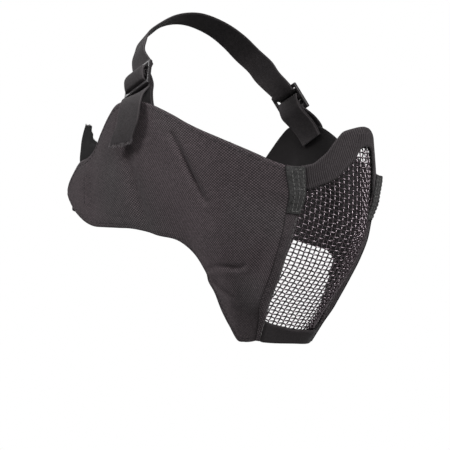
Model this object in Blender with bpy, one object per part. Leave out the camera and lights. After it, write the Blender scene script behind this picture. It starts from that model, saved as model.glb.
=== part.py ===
"""Mesh face mask: a wire front, cloth wings and two webbing straps, in the form it has when worn.

Metres, +Z up, the face looks along -Y and the wearer's right side is at -X. The origin lies on the
head's vertical axis, just under the level of the ears. Shares in the tables are of the sizes below.
"""

import bpy
import bmesh
import numpy as np
from mathutils import Vector

MM = 0.001

# Driving sizes
WING_OUT = 0.0860  # head axis to the outer face of a wing over the ear
NOSE_OUT = 0.1166  # head axis to the wire's middle ridge at nose level
CHIN_DROP = 0.0940  # origin to the lower edge
CLOTH = 0.0020  # wall of a wing
BAND = 0.0020  # wall of the nose and chin bands
STRIP = 0.0014  # wall of an edge strip
TAB = 0.0010  # wall of a corner tab
WIRE_SHELL = 0.0018  # wall of the wire front
GAP = 0.0003  # play between pieces that lie on each other
WEB_W = 0.0210  # webbing width
WEB_T = 0.0014  # webbing wall
SLIDER_W = 0.0262
SLIDER_H = 0.0208
SLIDER_T = 0.0026
BAR = 0.0030  # height of a slider bar
BAR_ROUND = 0.0007  # rounding of its edges
LEAST_HOLE = 0.0022  # a lower opening stays closed

# Wire front by level: up (of CHIN_DROP), then fore (of NOSE_OUT) and out (of WING_OUT)
# up, nose_fore, edge_out, edge_fore, ridge_out, ridge_fore
FRONT_LEVELS = (
    (-1.000, 0.485, 0.273, 0.339, 0.308, 0.339),
    (-0.851, 0.602, 0.302, 0.412, 0.360, 0.407),
    (-0.723, 0.693, 0.320, 0.465, 0.419, 0.463),
    (-0.521, 0.846, 0.343, 0.569, 0.445, 0.571),
    (-0.383, 0.925, 0.355, 0.626, 0.467, 0.635),
    (-0.234, 0.981, 0.360, 0.688, 0.478, 0.690),
    (-0.090, 0.992, 0.363, 0.739, 0.480, 0.720),
    (0.032, 0.994, 0.366, 0.782, 0.499, 0.754),
    (0.213, 1.000, 0.390, 0.794, 0.541, 0.755),
    (0.426, 0.995, 0.395, 0.785, 0.552, 0.746),
    (0.532, 0.942, 0.395, 0.772, 0.558, 0.742),
)
# Plan of the wire: share of the way out to its edge, share of the way fore from edge to ridge
BOW = ((0, 1), (0.08, 0.985), (0.16, 0.93), (0.25, 0.84), (0.5, 0.555), (0.75, 0.28), (1, 0))
# Outlines on the front: out (of WING_OUT), up (of CHIN_DROP)
BAND_TOP = (
    (0, 0.485), (0.030, 0.482), (0.097, 0.467), (0.151, 0.448), (0.212, 0.373),
    (0.253, 0.310), (0.294, 0.268), (0.345, 0.226), (0.390, 0.217),
)
WIRE_TOP = (
    (0, 0.351), (0.026, 0.347), (0.055, 0.325), (0.075, 0.285), (0.095, 0.250),
    (0.140, 0.193), (0.206, 0.117), (0.276, 0.082), (0.369, 0.044), (0.42, 0.036),
)
WIRE_LOW = ((0, -0.903), (0.099, -0.901), (0.178, -0.882), (0.255, -0.862), (0.298, -0.846), (0.36, -0.83))
CHIN_LOW = ((0, -1.0), (0.11, -1.0), (0.20, -0.996), (0.31, -0.985))
WIRE_COLUMNS = 10
WIRE_ROWS = 12
WIRE_BAR = 0.24  # bar width as a share of the pitch
TUCK = 0.0045  # how far the wire runs on under the cloth

# Wing by rib, from the front ridge to the rear tip: top edge point and lower edge point, as out (of
# WING_OUT), fore (of NOSE_OUT, minus is behind the axis), up (of CHIN_DROP), then belly (of WING_OUT)
# t_out, t_fore, t_up, l_out, l_fore, l_up, belly
WING_RIBS = (
    (0.541, 0.752, 0.213, 0.312, 0.338, -0.995, 0.000),
    (0.581, 0.672, 0.252, 0.336, 0.320, -1.000, 0.010),
    (0.634, 0.596, 0.302, 0.368, 0.296, -1.000, 0.014),
    (0.709, 0.492, 0.368, 0.410, 0.272, -0.986, 0.018),
    (0.779, 0.400, 0.426, 0.486, 0.276, -0.888, 0.022),
    (0.837, 0.305, 0.484, 0.600, 0.292, -0.755, 0.026),
    (0.884, 0.217, 0.543, 0.680, 0.288, -0.628, 0.030),
    (0.930, 0.127, 0.612, 0.744, 0.270, -0.511, 0.032),
    (0.977, 0.009, 0.687, 0.802, 0.214, -0.378, 0.034),
    (0.998, -0.086, 0.726, 0.849, 0.111, -0.282, 0.036),
    (1.000, -0.206, 0.745, 0.890, -0.034, -0.239, 0.034),
    (0.994, -0.309, 0.734, 0.919, -0.201, -0.184, 0.030),
    (0.985, -0.386, 0.665, 0.930, -0.359, -0.165, 0.024),
    (0.969, -0.472, 0.553, 0.930, -0.480, -0.152, 0.018),
    (0.945, -0.553, 0.441, 0.919, -0.581, -0.138, 0.012),
    (0.930, -0.635, 0.383, 0.914, -0.660, -0.106, 0.008),
    (0.910, -0.725, 0.365, 0.905, -0.733, -0.057, 0.006),
    (0.895, -0.793, 0.306, 0.892, -0.802, 0.005, 0.004),
    (0.884, -0.853, 0.229, 0.880, -0.858, 0.080, 0.002),
    (0.874, -0.883, 0.165, 0.873, -0.885, 0.133, 0.000),
)
WING_STEPS = 36  # columns along a wing
WING_ROWS = 12
# Creases of a wing: two ends as share along the ribs and share down, depth, half width (of WING_OUT)
CREASES = (
    (0.385, 0.095, 0.285, 0.310, 0.026, 0.046),
    (0.551, 0.560, 0.547, 0.950, 0.024, 0.085),
    (0.340, 0.900, 0.145, 0.580, 0.018, 0.040),
)

# Slider frame: centre as out (of WING_OUT), back (of NOSE_OUT) and up (of CHIN_DROP), and its up and
# outward directions
SLIDER_AT = (0.8670, 0.2170, 0.9160)
SLIDER_UP = (-0.40, 0.33, 0.85)
SLIDER_FACE = (0.898, 0.134, 0.37)
# Head strap from its free end to the crown. Rows in the slider frame hold up (of SLIDER_H), face (of
# SLIDER_T) and along (of SLIDER_W)
TAIL = (  # out, back and up in shares as SLIDER_AT, then the width direction as out, back, up
    (1.0756, 0.2273, 0.4521, 0.10, 0.99, -0.11),
    (1.0756, 0.2015, 0.5053, 0.10, 0.99, -0.09),
    (1.0674, 0.1630, 0.5745, 0.06, 0.99, -0.05),
    (1.0523, 0.1458, 0.6596, 0.03, 0.995, 0.06),
    (1.0291, 0.1415, 0.7240, 0.00, 0.995, 0.02),
    (0.9790, 0.1587, 0.7760, 0.02, 0.99, -0.12),
)
THREAD = (
    (-0.538, -0.885, -0.031), (-0.415, -1.050, 0), (-0.332, -0.850, 0), (-0.292, 0, 0),
    (-0.280, 1.150, 0), (-0.215, 1.850, 0), (-0.040, 2.000, 0), (0.150, 1.850, 0), (0.262, 1.150, 0),
    (0.292, 0, 0), (0.332, -0.850, 0), (0.415, -1.050, 0), (0.538, -1.038, 0),
)
OVER_HEAD = (
    (0.7393, 0.3262, 1.1170, -0.25, 0.93, -0.28),
    (0.6842, 0.3561, 1.2021, -0.29, 0.91, -0.30),
    (0.5901, 0.4003, 1.2926, -0.27, 0.91, -0.30),
    (0.4500, 0.4120, 1.3830, -0.20, 0.93, -0.28),
    (0.3080, 0.4288, 1.4553, -0.10, 0.96, -0.25),
    (0.1512, 0.4417, 1.5000, -0.04, 0.97, -0.24),
    (0.0000, 0.4460, 1.5160, 0.00, 0.97, -0.24),
)
# Strap tab round the slider's centre bar: up, face, along, then how far its width turns outward
TAB_LOOP = (
    (-1.587, -2.262, -0.130, 0.10), (-1.394, -1.744, -0.115, 0.10), (-1.154, -1.418, -0.092, 0.08),
    (-0.889, -1.369, -0.061, 0.05), (-0.625, -1.568, -0.023, 0.02), (-0.409, -1.808, 0, 0),
    (-0.250, -1.615, 0, 0), (-0.163, -1.000, 0, 0), (-0.135, -0.192, 0, 0), (-0.120, 0.462, 0, 0),
    (-0.058, 0.923, 0, 0), (0.048, 0.923, 0, 0), (0.115, 0.423, 0, 0), (0.120, -0.385, 0, 0),
    (0.048, -1.000, 0, 0), (-0.077, -1.654, 0, 0), (-0.240, -2.231, 0, 0), (-0.409, -2.423, 0, 0),
    (-0.625, -2.174, -0.023, 0.02), (-0.889, -1.985, -0.061, 0.05), (-1.154, -2.033, -0.092, 0.08),
    (-1.394, -2.359, -0.115, 0.10), (-1.587, -2.878, -0.130, 0.10),
)
# Nape strap from inside a lobe round the back, middle line: out, back, up, in the slider's shares
NAPE = (
    (0.9035, 0.5660, 0.1383), (0.8895, 0.6346, 0.1383), (0.8686, 0.7376, 0.1362), (0.8512, 0.8105, 0.1319),
    (0.8244, 0.8662, 0.1277), (0.7442, 0.9245, 0.1213), (0.5814, 0.9605, 0.1128), (0.3953, 0.9820, 0.1043),
    (0.1977, 0.9949, 0.0989), (0.0000, 0.9991, 0.0957),
)
# Its upturned end, bottom to top, in the same shares
NAPE_TAIL = (
    (0.8581, 0.6775, 0.0638), (0.8581, 0.6820, 0.1915), (0.8558, 0.6900, 0.3085), (0.8547, 0.7010, 0.3936),
    (0.8395, 0.7070, 0.4740), (0.8209, 0.7090, 0.5360), (0.8070, 0.7100, 0.5900),
)

COLOURS = {
    "cloth": ((0.052, 0.050, 0.052), 0.92),
    "band": ((0.040, 0.038, 0.041), 0.85),
    "strip": ((0.030, 0.032, 0.031), 0.88),
    "wire": ((0.030, 0.027, 0.030), 0.32),
    "web": ((0.045, 0.044, 0.046), 0.90),
    "plastic": ((0.010, 0.010, 0.011), 0.22),
}


def clear():
    for obj in list(bpy.data.objects):
        bpy.data.objects.remove(obj, do_unlink=True)


def material(kind, name):
    colour, rough = COLOURS[kind]
    made = bpy.data.materials.new(name + "_material")
    made.use_nodes = True
    shader = made.node_tree.nodes["Principled BSDF"]
    shader.inputs["Base Color"].default_value = (*colour, 1)
    shader.inputs["Roughness"].default_value = rough
    shader.inputs["Metallic"].default_value = 0.6 if kind == "wire" else 0.0
    made.diffuse_color = (*colour, 1)
    return made


def add(name, points, faces, kind):
    mesh = bpy.data.meshes.new(name)
    mesh.from_pydata([tuple(p) for p in points], [], [tuple(f) for f in faces])
    mesh.update()
    work = bmesh.new()
    work.from_mesh(mesh)
    bmesh.ops.recalc_face_normals(work, faces=work.faces)
    work.to_mesh(mesh)
    work.free()
    obj = bpy.data.objects.new(name, mesh)
    obj.data.materials.append(material(kind, name))
    bpy.context.scene.collection.objects.link(obj)
    return obj


def curve(xs, ys, at):
    """Smooth curve through the points that doesn't overshoot them."""
    xs, ys, at = (np.asarray(a, float) for a in (xs, ys, at))
    step = np.diff(xs)
    slope = np.diff(ys) / step
    tangent = np.zeros_like(ys)
    tangent[0], tangent[-1] = slope[0], slope[-1]
    same = slope[:-1] * slope[1:] > 0
    low = 2 * step[1:] + step[:-1]
    high = step[1:] + 2 * step[:-1]
    inner = np.zeros(len(slope) - 1)
    inner[same] = (low + high)[same] / (low[same] / slope[:-1][same] + high[same] / slope[1:][same])
    tangent[1:-1] = inner
    at = np.clip(at, xs[0], xs[-1])
    k = np.clip(np.searchsorted(xs, at, side="right") - 1, 0, len(xs) - 2)
    t = (at - xs[k]) / step[k]
    return (
        (2 * t**3 - 3 * t**2 + 1) * ys[k] + (t**3 - 2 * t**2 + t) * step[k] * tangent[k]
        + (-2 * t**3 + 3 * t**2) * ys[k + 1] + (t**3 - t**2) * step[k] * tangent[k + 1]
    )


def rows_at(rows, at):
    """Catmull-Rom through the rows of a table, at positions counted in rows."""
    rows = np.asarray(rows, float)
    padded = np.vstack([2 * rows[0] - rows[1], rows, 2 * rows[-1] - rows[-2]])
    at = np.asarray(at, float)
    k = np.clip(at.astype(int), 0, len(rows) - 2)
    t = (at - k)[..., None]
    a, b, c, d = (padded[k + i] for i in range(4))
    return 0.5 * (2 * b + (c - a) * t + (2 * a - 5 * b + 4 * c - d) * t**2 + (3 * b - 3 * c + d - a) * t**3)


def outline(table, x):
    table = np.array(table, float)
    return curve(table[:, 0] * WING_OUT, table[:, 1] * CHIN_DROP, np.abs(x))


LEVELS = np.array(FRONT_LEVELS, float) * (CHIN_DROP, NOSE_OUT, WING_OUT, NOSE_OUT, WING_OUT, NOSE_OUT)
BOWS = np.array(BOW, float)


def level(z):
    return [curve(LEVELS[:, 0], LEVELS[:, k], z) for k in range(1, 6)]


def front(x, z):
    """Y of the wire front and of the flat strip beside it."""
    nose, edge, edge_fore, ridge, ridge_fore = level(z)
    share = np.abs(x) / edge
    bowed = edge_fore + (nose - edge_fore) * curve(BOWS[:, 0], BOWS[:, 1], share)
    beside = edge_fore + (ridge_fore - edge_fore) * (np.abs(x) - edge) / (ridge - edge)
    return -np.where(share <= 1, bowed, beside)


def front_points(x, z, off):
    """Points at a distance outward from the wire front."""
    x, z = np.broadcast_arrays(np.asarray(x, float), np.asarray(z, float))
    h = 2e-4
    dx = (front(x + h, z) - front(x - h, z)) / (2 * h)
    dz = (front(x, z + h) - front(x, z - h)) / (2 * h)
    normal = np.stack([dx, -np.ones_like(dx), dz], -1)
    normal /= np.linalg.norm(normal, axis=-1, keepdims=True)
    return np.stack([x, front(x, z), z], -1) + np.asarray(off)[..., None] * normal


def closed_shell(outer, inner, faces):
    """Faces on the outer points, the same on the inner ones, and walls along each open edge."""
    count = len(outer)
    edges = {}
    for face in faces:
        for a, b in zip(face, face[1:] + face[:1]):
            if (b, a) in edges:
                del edges[(b, a)]
            else:
                edges[(a, b)] = True
    every = list(faces) + [tuple(i + count for i in reversed(face)) for face in faces]
    every += [(b, a, a + count, b + count) for a, b in edges]
    return np.vstack([outer, inner]), every


def grid_faces(nu, nv):
    return [
        (i * nv + j, (i + 1) * nv + j, (i + 1) * nv + j + 1, i * nv + j + 1)
        for i in range(nu - 1)
        for j in range(nv - 1)
    ]


def grid_shell(name, outer, inner, kind):
    nu, nv = outer.shape[:2]
    points, faces = closed_shell(outer.reshape(-1, 3), inner.reshape(-1, 3), grid_faces(nu, nv))
    return add(name, points, faces, kind)


def both(build, *args):
    for side, name in ((-1, "right"), (1, "left")):
        build(side, name, *args)


def wire_front():
    """A shell with columns of openings, whose rows stay level and end at the upper outline."""
    pitch = 1.92 / WIRE_COLUMNS
    columns = [(-1.0, TUCK), (-1.0, 0.0)]
    for i in range(WIRE_COLUMNS):
        left = -0.96 + i * pitch
        columns += [(left + WIRE_BAR * pitch / 2, 0.0), (left + (1 - WIRE_BAR / 2) * pitch, 0.0)]
    columns += [(1.0, 0.0), (1.0, TUCK)]
    low, high = -0.875 * CHIN_DROP, 0.335 * CHIN_DROP
    step = (high - low) / WIRE_ROWS
    lines = []
    for j in range(WIRE_ROWS):
        lines += [low + (j + WIRE_BAR / 2) * step, low + (j + 1 - WIRE_BAR / 2) * step]
    index, xs, zs, nodes = {}, [], [], []
    for i, (share, margin) in enumerate(columns):
        column = []
        side_x = share * 0.36 * WING_OUT
        top = float(outline(WIRE_TOP, side_x)) - GAP
        bottom = float(outline(WIRE_LOW, side_x)) + 2 * GAP
        heights = [bottom - TUCK] + [min(max(z, bottom), top) for z in lines] + [top + TUCK]
        for z in heights:
            key = (i, round(z, 6))
            if key not in index:
                index[key] = len(xs)
                _, edge, _, ridge, _ = (float(v) for v in level(z))
                xs.append(share * edge + np.sign(share) * min(margin, 0.5 * (ridge - edge)))
                zs.append(z)
            column.append(index[key])
        nodes.append(column)
    faces = []
    for i in range(len(nodes) - 1):
        for j in range(len(nodes[0]) - 1):
            ring = [nodes[i][j], nodes[i + 1][j], nodes[i + 1][j + 1], nodes[i][j + 1]]
            heights = (zs[ring[3]] - zs[ring[0]], zs[ring[2]] - zs[ring[1]])
            if 1 < i < len(nodes) - 2 and i % 2 == 0 and j % 2 == 1 and min(heights) > LEAST_HOLE:
                continue
            ring = [v for k, v in enumerate(ring) if v != ring[k - 1]]
            if len(ring) > 2:
                faces.append(tuple(ring))
    xs, zs = np.array(xs), np.array(zs)
    outer, inner = front_points(xs, zs, 0 * xs), front_points(xs, zs, 0 * xs - WIRE_SHELL)
    add("mesh_panel", *closed_shell(outer, inner, faces), "wire")


def front_band(name, lower, upper, wall, kind, columns, rows):
    share = np.linspace(-1, 1, columns + 1)[:, None]
    up = np.linspace(0, 1, rows + 1)[None, :]
    faces = []
    for off in (GAP + wall, GAP):  # each face ends at the same distance from the edge
        z = 0 * share * up
        for _ in range(5):
            x = share * (level(z)[1] - GAP - 0.72 * off)
            z = outline(lower, x) * (1 - up) + outline(upper, x) * up
        faces.append(front_points(x, z, 0 * x + off))
    grid_shell(name, *faces, kind)


def strip_points(side, z, share, off):
    _, edge, _, ridge, _ = level(z)
    return front_points(side * (edge + (ridge - edge) * share + GAP), z, off)


def edge_strip(side, name):
    z = np.linspace(0.208, -0.985, 25)[:, None] * CHIN_DROP
    share = np.array([0.0, 0.12, 0.5, 0.88, 1.0])[None, :]
    z, share = np.broadcast_arrays(z, share)
    crown = STRIP * np.array([0.7, 1, 1, 1, 0.7])[None, :]
    outer = strip_points(side, z, share, GAP + crown + 0 * z)
    inner = strip_points(side, z, share, GAP + 0 * z)
    grid_shell("edge_strip_" + name, outer, inner, "strip")


def corner_tab(side, name):
    z = np.linspace(0.205, -0.110, 9)[:, None] * CHIN_DROP
    share = np.linspace(0.02, 0.98, 5)[None, :]
    z, share = np.broadcast_arrays(z, share)
    base = 2 * GAP + STRIP
    outer = strip_points(side, z, share, base + TAB + 0 * z)
    inner = strip_points(side, z, share, base + 0 * z)
    grid_shell("corner_tab_" + name, outer, inner, "strip")


def wing_surface(along, down):
    """Points of a wing at shares along its ribs and down them, for the side where out is plus."""
    ribs = np.array(WING_RIBS, float)
    row = np.asarray(along, float) * (len(ribs) - 1)
    at = rows_at(ribs, row)
    scale = np.array([WING_OUT, -NOSE_OUT, CHIN_DROP])
    top, low = at[..., 0:3] * scale, at[..., 3:6] * scale
    t = np.asarray(down, float)[..., None]
    point = top * (1 - t) + low * t
    first_top, first_low = ribs[0, 0:3] * scale, ribs[0, 3:6] * scale
    z = first_top[2] * (1 - t[..., 0]) + first_low[2] * t[..., 0]
    _, _, _, ridge, ridge_fore = level(z)
    chord = first_top * (1 - t) + first_low * t
    fade = np.clip(1 - row / 7, 0, 1) ** 2
    point[..., 0] += fade * (ridge - chord[..., 0])
    point[..., 1] += fade * (-ridge_fore + GAP - chord[..., 1])
    point[..., 0] += at[..., 6] * WING_OUT * 4 * t[..., 0] * (1 - t[..., 0])
    return point


def wing_normals(points):
    du = np.gradient(points, axis=0)
    dv = np.gradient(points, axis=1)
    normal = np.cross(du, dv)
    normal /= np.linalg.norm(normal, axis=-1, keepdims=True)
    return normal if normal[..., 0].mean() > 0 else -normal


def wing_grid(columns, rows):
    along = np.linspace(0, 1, columns + 1)
    along = along + 0.012 * np.sin(2 * np.pi * along)
    along, down = np.broadcast_arrays(along[:, None], np.linspace(0, 1, rows + 1)[None, :])
    points = wing_surface(along, down)
    normal = wing_normals(points)
    dent = np.zeros(points.shape[:2])
    for a1, d1, a2, d2, depth, half in CREASES:
        ends = wing_surface(np.array([a1, a2]), np.array([d1, d2]))
        line = ends[1] - ends[0]
        t = np.clip(((points - ends[0]) @ line) / (line @ line), 0, 1)
        away = np.linalg.norm(points - (ends[0] + t[..., None] * line), axis=-1)
        dent = np.maximum(dent, depth * WING_OUT * np.exp(-((away / (half * WING_OUT)) ** 2)))
    return points - dent[..., None] * normal, normal


def side_panel(side, name):
    points, normal = wing_grid(WING_STEPS, WING_ROWS)
    flip = np.array([side, 1, 1])
    grid_shell("side_panel_" + name, points * flip, (points - CLOTH * normal) * flip, "cloth")


def unit(v):
    v = np.asarray(v, float)
    return v / np.linalg.norm(v, axis=-1, keepdims=True)


PLACE = np.array([WING_OUT, NOSE_OUT, CHIN_DROP])
SLIDER_SIZE = np.array([SLIDER_H, SLIDER_T, SLIDER_W])
FACE = unit(SLIDER_FACE)
UP = unit(np.asarray(SLIDER_UP) - FACE * np.dot(FACE, SLIDER_UP))
ALONG = np.cross(UP, FACE) * -1
ALONG = ALONG if ALONG[1] > 0 else -ALONG


def in_slider(rows):
    rows = np.asarray(rows, float)
    return SLIDER_AT * PLACE + rows[:, :1] * UP + rows[:, 1:2] * FACE + rows[:, 2:3] * ALONG


def ribbon(name, path, across, width, wall, kind, steps=2):
    """A webbing of even width along a path, with its width along the given directions."""
    at = np.linspace(0, len(path) - 1, (len(path) - 1) * steps + 1)
    path, across = rows_at(path, at), unit(rows_at(across, at))
    normal = unit(np.cross(np.gradient(path, axis=0), across))
    ring = []
    for w, n in ((-0.5, -0.5), (0, -0.5), (0.5, -0.5), (0.5, 0.5), (0, 0.5), (-0.5, 0.5)):
        ring.append(path + w * width * across + n * wall * normal)
    points = np.stack(ring, 1)
    count, sides = points.shape[:2]
    faces = [
        (i * sides + j, i * sides + (j + 1) % sides, (i + 1) * sides + (j + 1) % sides, (i + 1) * sides + j)
        for i in range(count - 1)
        for j in range(sides)
    ]
    faces += [tuple(reversed(range(sides))), tuple(range((count - 1) * sides, count * sides))]
    return add(name, points.reshape(-1, 3), faces, kind)


def head_strap():
    tail, over = np.array(TAIL), np.array(OVER_HEAD)
    thread = in_slider(THREAD * SLIDER_SIZE)
    half = np.vstack([tail[:, :3] * PLACE, thread, over[:, :3] * PLACE])
    across = np.vstack([tail[:, 3:], np.tile(ALONG, (len(thread), 1)), over[:, 3:]])
    left = np.array([1, 1, 1])
    right = np.array([-1, 1, 1])
    path = np.vstack([half * right, (half * left)[-2::-1]])
    width = np.vstack([across * right, (across * left)[-2::-1]])
    ribbon("head_strap", path, width, WEB_W, WEB_T, "web")


def slider(side, name):
    xs = (-SLIDER_W / 2, -WEB_W / 2 - 2 * GAP, WEB_W / 2 + 2 * GAP, SLIDER_W / 2)
    ys = (-SLIDER_H / 2, BAR - SLIDER_H / 2, -BAR / 2, BAR / 2, SLIDER_H / 2 - BAR, SLIDER_H / 2)
    faces = [
        (i * 6 + j, (i + 1) * 6 + j, (i + 1) * 6 + j + 1, i * 6 + j + 1)
        for i in range(3)
        for j in range(5)
        if not (i == 1 and j in (1, 3))
    ]
    flat = np.array([(y, x) for x in xs for y in ys])
    outer = in_slider(np.column_stack([flat[:, 0], 0 * flat[:, 0] + SLIDER_T / 2, flat[:, 1]]))
    inner = in_slider(np.column_stack([flat[:, 0], 0 * flat[:, 0] - SLIDER_T / 2, flat[:, 1]]))
    points, every = closed_shell(outer, inner, faces)
    obj = add("slider_" + name, points * np.array([side, 1, 1]), every, "plastic")
    soften = obj.modifiers.new("soften", "BEVEL")
    soften.width = BAR_ROUND
    soften.segments = 2
    soften.limit_method = "ANGLE"


def strap_tab(side, name):
    rows = np.array(TAB_LOOP)
    path = in_slider(rows[:, :3] * SLIDER_SIZE) * np.array([side, 1, 1])
    across = (ALONG + rows[:, 3:] * np.array([1, 0, 0])) * np.array([side, 1, 1])
    ribbon("strap_tab_" + name, path, across, WEB_W - 2 * GAP, TAB, "web")


def nape_strap():
    half = NAPE * PLACE
    path = np.vstack([half * np.array([-1, 1, 1]), half[-2::-1]])
    ribbon("nape_strap", path, np.tile((0.0, 0.0, 1.0), (len(path), 1)), WEB_W, WEB_T, "web")


def nape_tail(side, name):
    path = NAPE_TAIL * PLACE * np.array([side, 1, 1])
    across = np.tile((side * -0.14, 0.90, 0.0), (len(path), 1))
    across[-1] = (side * -0.10, 0.62, 0.78)
    across[-2] = (side * -0.10, 0.80, 0.48)
    ribbon("nape_tail_" + name, path, across, WEB_W, WEB_T, "web")


def main():
    clear()
    wire_front()
    front_band("nose_band", WIRE_TOP, BAND_TOP, BAND, "band", 28, 4)
    front_band("chin_band", CHIN_LOW, WIRE_LOW, BAND, "band", 20, 3)
    both(edge_strip)
    both(corner_tab)
    both(side_panel)
    both(slider)
    both(strap_tab)
    head_strap()
    nape_strap()
    both(nape_tail)


main()
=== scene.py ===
"""Looks of the mesh face mask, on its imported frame. Metres, +Z up, the face looks along -Y.

The form comes from the same sizes and tables as the solids. Each cloth piece, webbing and the woven wire
replaces its solid.
"""

import math

import bpy
import numpy as np
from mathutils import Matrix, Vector, noise


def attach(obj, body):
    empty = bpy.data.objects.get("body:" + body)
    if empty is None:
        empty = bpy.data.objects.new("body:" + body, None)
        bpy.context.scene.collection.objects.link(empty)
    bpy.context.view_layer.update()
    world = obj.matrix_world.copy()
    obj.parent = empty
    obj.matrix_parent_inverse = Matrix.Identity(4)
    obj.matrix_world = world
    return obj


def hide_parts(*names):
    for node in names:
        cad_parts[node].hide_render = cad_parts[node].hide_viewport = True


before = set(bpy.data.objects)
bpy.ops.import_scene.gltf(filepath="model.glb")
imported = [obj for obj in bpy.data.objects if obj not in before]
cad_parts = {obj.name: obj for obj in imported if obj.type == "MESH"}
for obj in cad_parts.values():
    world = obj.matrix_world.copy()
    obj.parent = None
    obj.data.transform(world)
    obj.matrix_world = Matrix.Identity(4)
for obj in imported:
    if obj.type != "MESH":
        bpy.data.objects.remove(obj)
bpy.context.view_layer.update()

# Sizes as in the solids. Shares out are of WING_OUT, fore or back of NOSE_OUT, up of CHIN_DROP.
WING_OUT, NOSE_OUT, CHIN_DROP = 0.0860, 0.1166, 0.0940
CLOTH, BAND, STRIP, TAB, WIRE_SHELL, GAP = 0.0020, 0.0020, 0.0014, 0.0010, 0.0018, 0.0003
WEB_W, WEB_T = 0.0210, 0.0014
SLIDER_W, SLIDER_H, SLIDER_T = 0.0262, 0.0208, 0.0026

# Fine sizes that the solids leave out
INSIDE = 10.0  # the back of a cloth lies this far along u, where the cloth materials paint it darker as painted shade of the mask's inside
WIRE_D = 0.00100  # wire of the front
WIRE_STEPS = 5  # points of a wire from one crossing to the next
WIRE_UP = (-0.0935, 0.0440)  # heights between which they are laid out
WIRE_OUT, WIRE_LAID = 1.10, 1.12  # shares of the way to the edge: how far out they go and are laid out
WIRE_PAST = 0.0030  # how far they run on under the bands
BAND_RIB = 0.00145  # spacing of the ribs of the nose band
BAND_EDGE, WING_EDGE, TAPE_EDGE, WEB_EDGE = 0.0011, 0.0013, 0.0008, 0.0006  # reach of their rounded borders
TOP_HEM, LOW_HEM = (0.0016, 0.0011), (0.0014, 0.0010)  # hems of a band: distance inside, half width
RIB_START, RIB_RISE, BOUND = 0.0022, 0.0030, 0.0030  # its ribs inside the border, its bound lower edge
BAND_PAST = 0.0016  # how far a band's side ends run on past the wire's edge
DIVE_START, DIVE_RUN, DIVE_DEPTH = 0.0022, 0.0030, 0.0021  # and how they dive under the tape
TAPE_DROP, FOLD_AT, FOLD_HALF = 0.0036, 0.0042, 0.0017  # how the tape runs down onto the wing, its fold
PATCH_BASE, PATCH_SINK = 2 * GAP + STRIP, 0.0032  # underside of a corner patch, width of its sunk side
CRUMPLE, CALM = 0.00042, 0.012  # unevenness of the wings, and how far from a border it is full
LOOP_DIP = 0.0014  # how far the selvedges of the strap sink over the slider
TAB_W = WEB_W - 0.0006  # webbing of the strap tab
CUT_REACH = 0.012  # how far back from a cut the webbing is drawn out of line
YARN_R = np.array([1.7, 1.7, 1.7, 1.6, 1.4, 1.2, 0.8]) * 1e-4  # a loose yarn, from root to tip

# Seams
PATCH_THREAD_R, WING_THREAD_R = 0.0002375, 0.000171
STITCH_SINK = 0.00012  # how deep the ends of a stitch lie in the cloth
# Stitches: length, space, height
TAPE_STITCH, PATCH_STITCH = (0.0026, 0.0011, 0.00028), (0.0019, 0.0009, 0.00022)
HEM_STITCH, BOX_STITCH = (0.0024, 0.0013, 0.00028), (0.0022, 0.0010, 0.00022)
HEM_INSET = 0.0032
# Box seam of a corner patch, seam of the tape: shares across the strip, shares up
PATCH_ACROSS, PATCH_UP = (0.16, 0.44, 0.74), (0.185, 0.05, -0.092)
TAPE_ACROSS, TAPE_UP = 0.20, (-0.125, -0.965)
# Seams that hold the straps in a wing: y from, to, z from, to, points along y and along z
STRAP_BOXES = ((0.006, 0.021, 0.057, 0.0635, 16, 12), (0.07, 0.078, 0.003, 0.023, 12, 24))

# Wire front by height: up, nose_fore, edge_out, edge_fore, ridge_out, ridge_fore, as shares
FRONT_LEVELS = (
    (-1.000, 0.485, 0.273, 0.339, 0.308, 0.339),
    (-0.851, 0.602, 0.302, 0.412, 0.360, 0.407),
    (-0.723, 0.693, 0.320, 0.465, 0.419, 0.463),
    (-0.521, 0.846, 0.343, 0.569, 0.445, 0.571),
    (-0.383, 0.925, 0.355, 0.626, 0.467, 0.635),
    (-0.234, 0.981, 0.360, 0.688, 0.478, 0.690),
    (-0.090, 0.992, 0.363, 0.739, 0.480, 0.720),
    (0.032, 0.994, 0.366, 0.782, 0.499, 0.754),
    (0.213, 1.000, 0.390, 0.794, 0.541, 0.755),
    (0.426, 0.995, 0.395, 0.785, 0.552, 0.746),
    (0.532, 0.942, 0.395, 0.772, 0.558, 0.742),
)
# How far forward the front still is, by share of the way from the middle ridge to its edge
BOW = ((0, 1), (0.08, 0.985), (0.16, 0.93), (0.25, 0.84), (0.5, 0.555), (0.75, 0.28), (1, 0))
# Borders of the bands: shares out and up
BAND_TOP = (
    (0, 0.485), (0.030, 0.482), (0.097, 0.467), (0.151, 0.448), (0.212, 0.373),
    (0.253, 0.310), (0.294, 0.268), (0.345, 0.226), (0.390, 0.217),
)
WIRE_TOP = (
    (0, 0.351), (0.026, 0.347), (0.055, 0.325), (0.075, 0.285), (0.095, 0.250),
    (0.140, 0.193), (0.206, 0.117), (0.276, 0.082), (0.369, 0.044), (0.42, 0.036),
)
WIRE_LOW = ((0, -0.903), (0.099, -0.901), (0.178, -0.882), (0.255, -0.862), (0.298, -0.846), (0.36, -0.83))
CHIN_LOW = ((0, -1.0), (0.11, -1.0), (0.20, -0.996), (0.31, -0.985))
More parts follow.
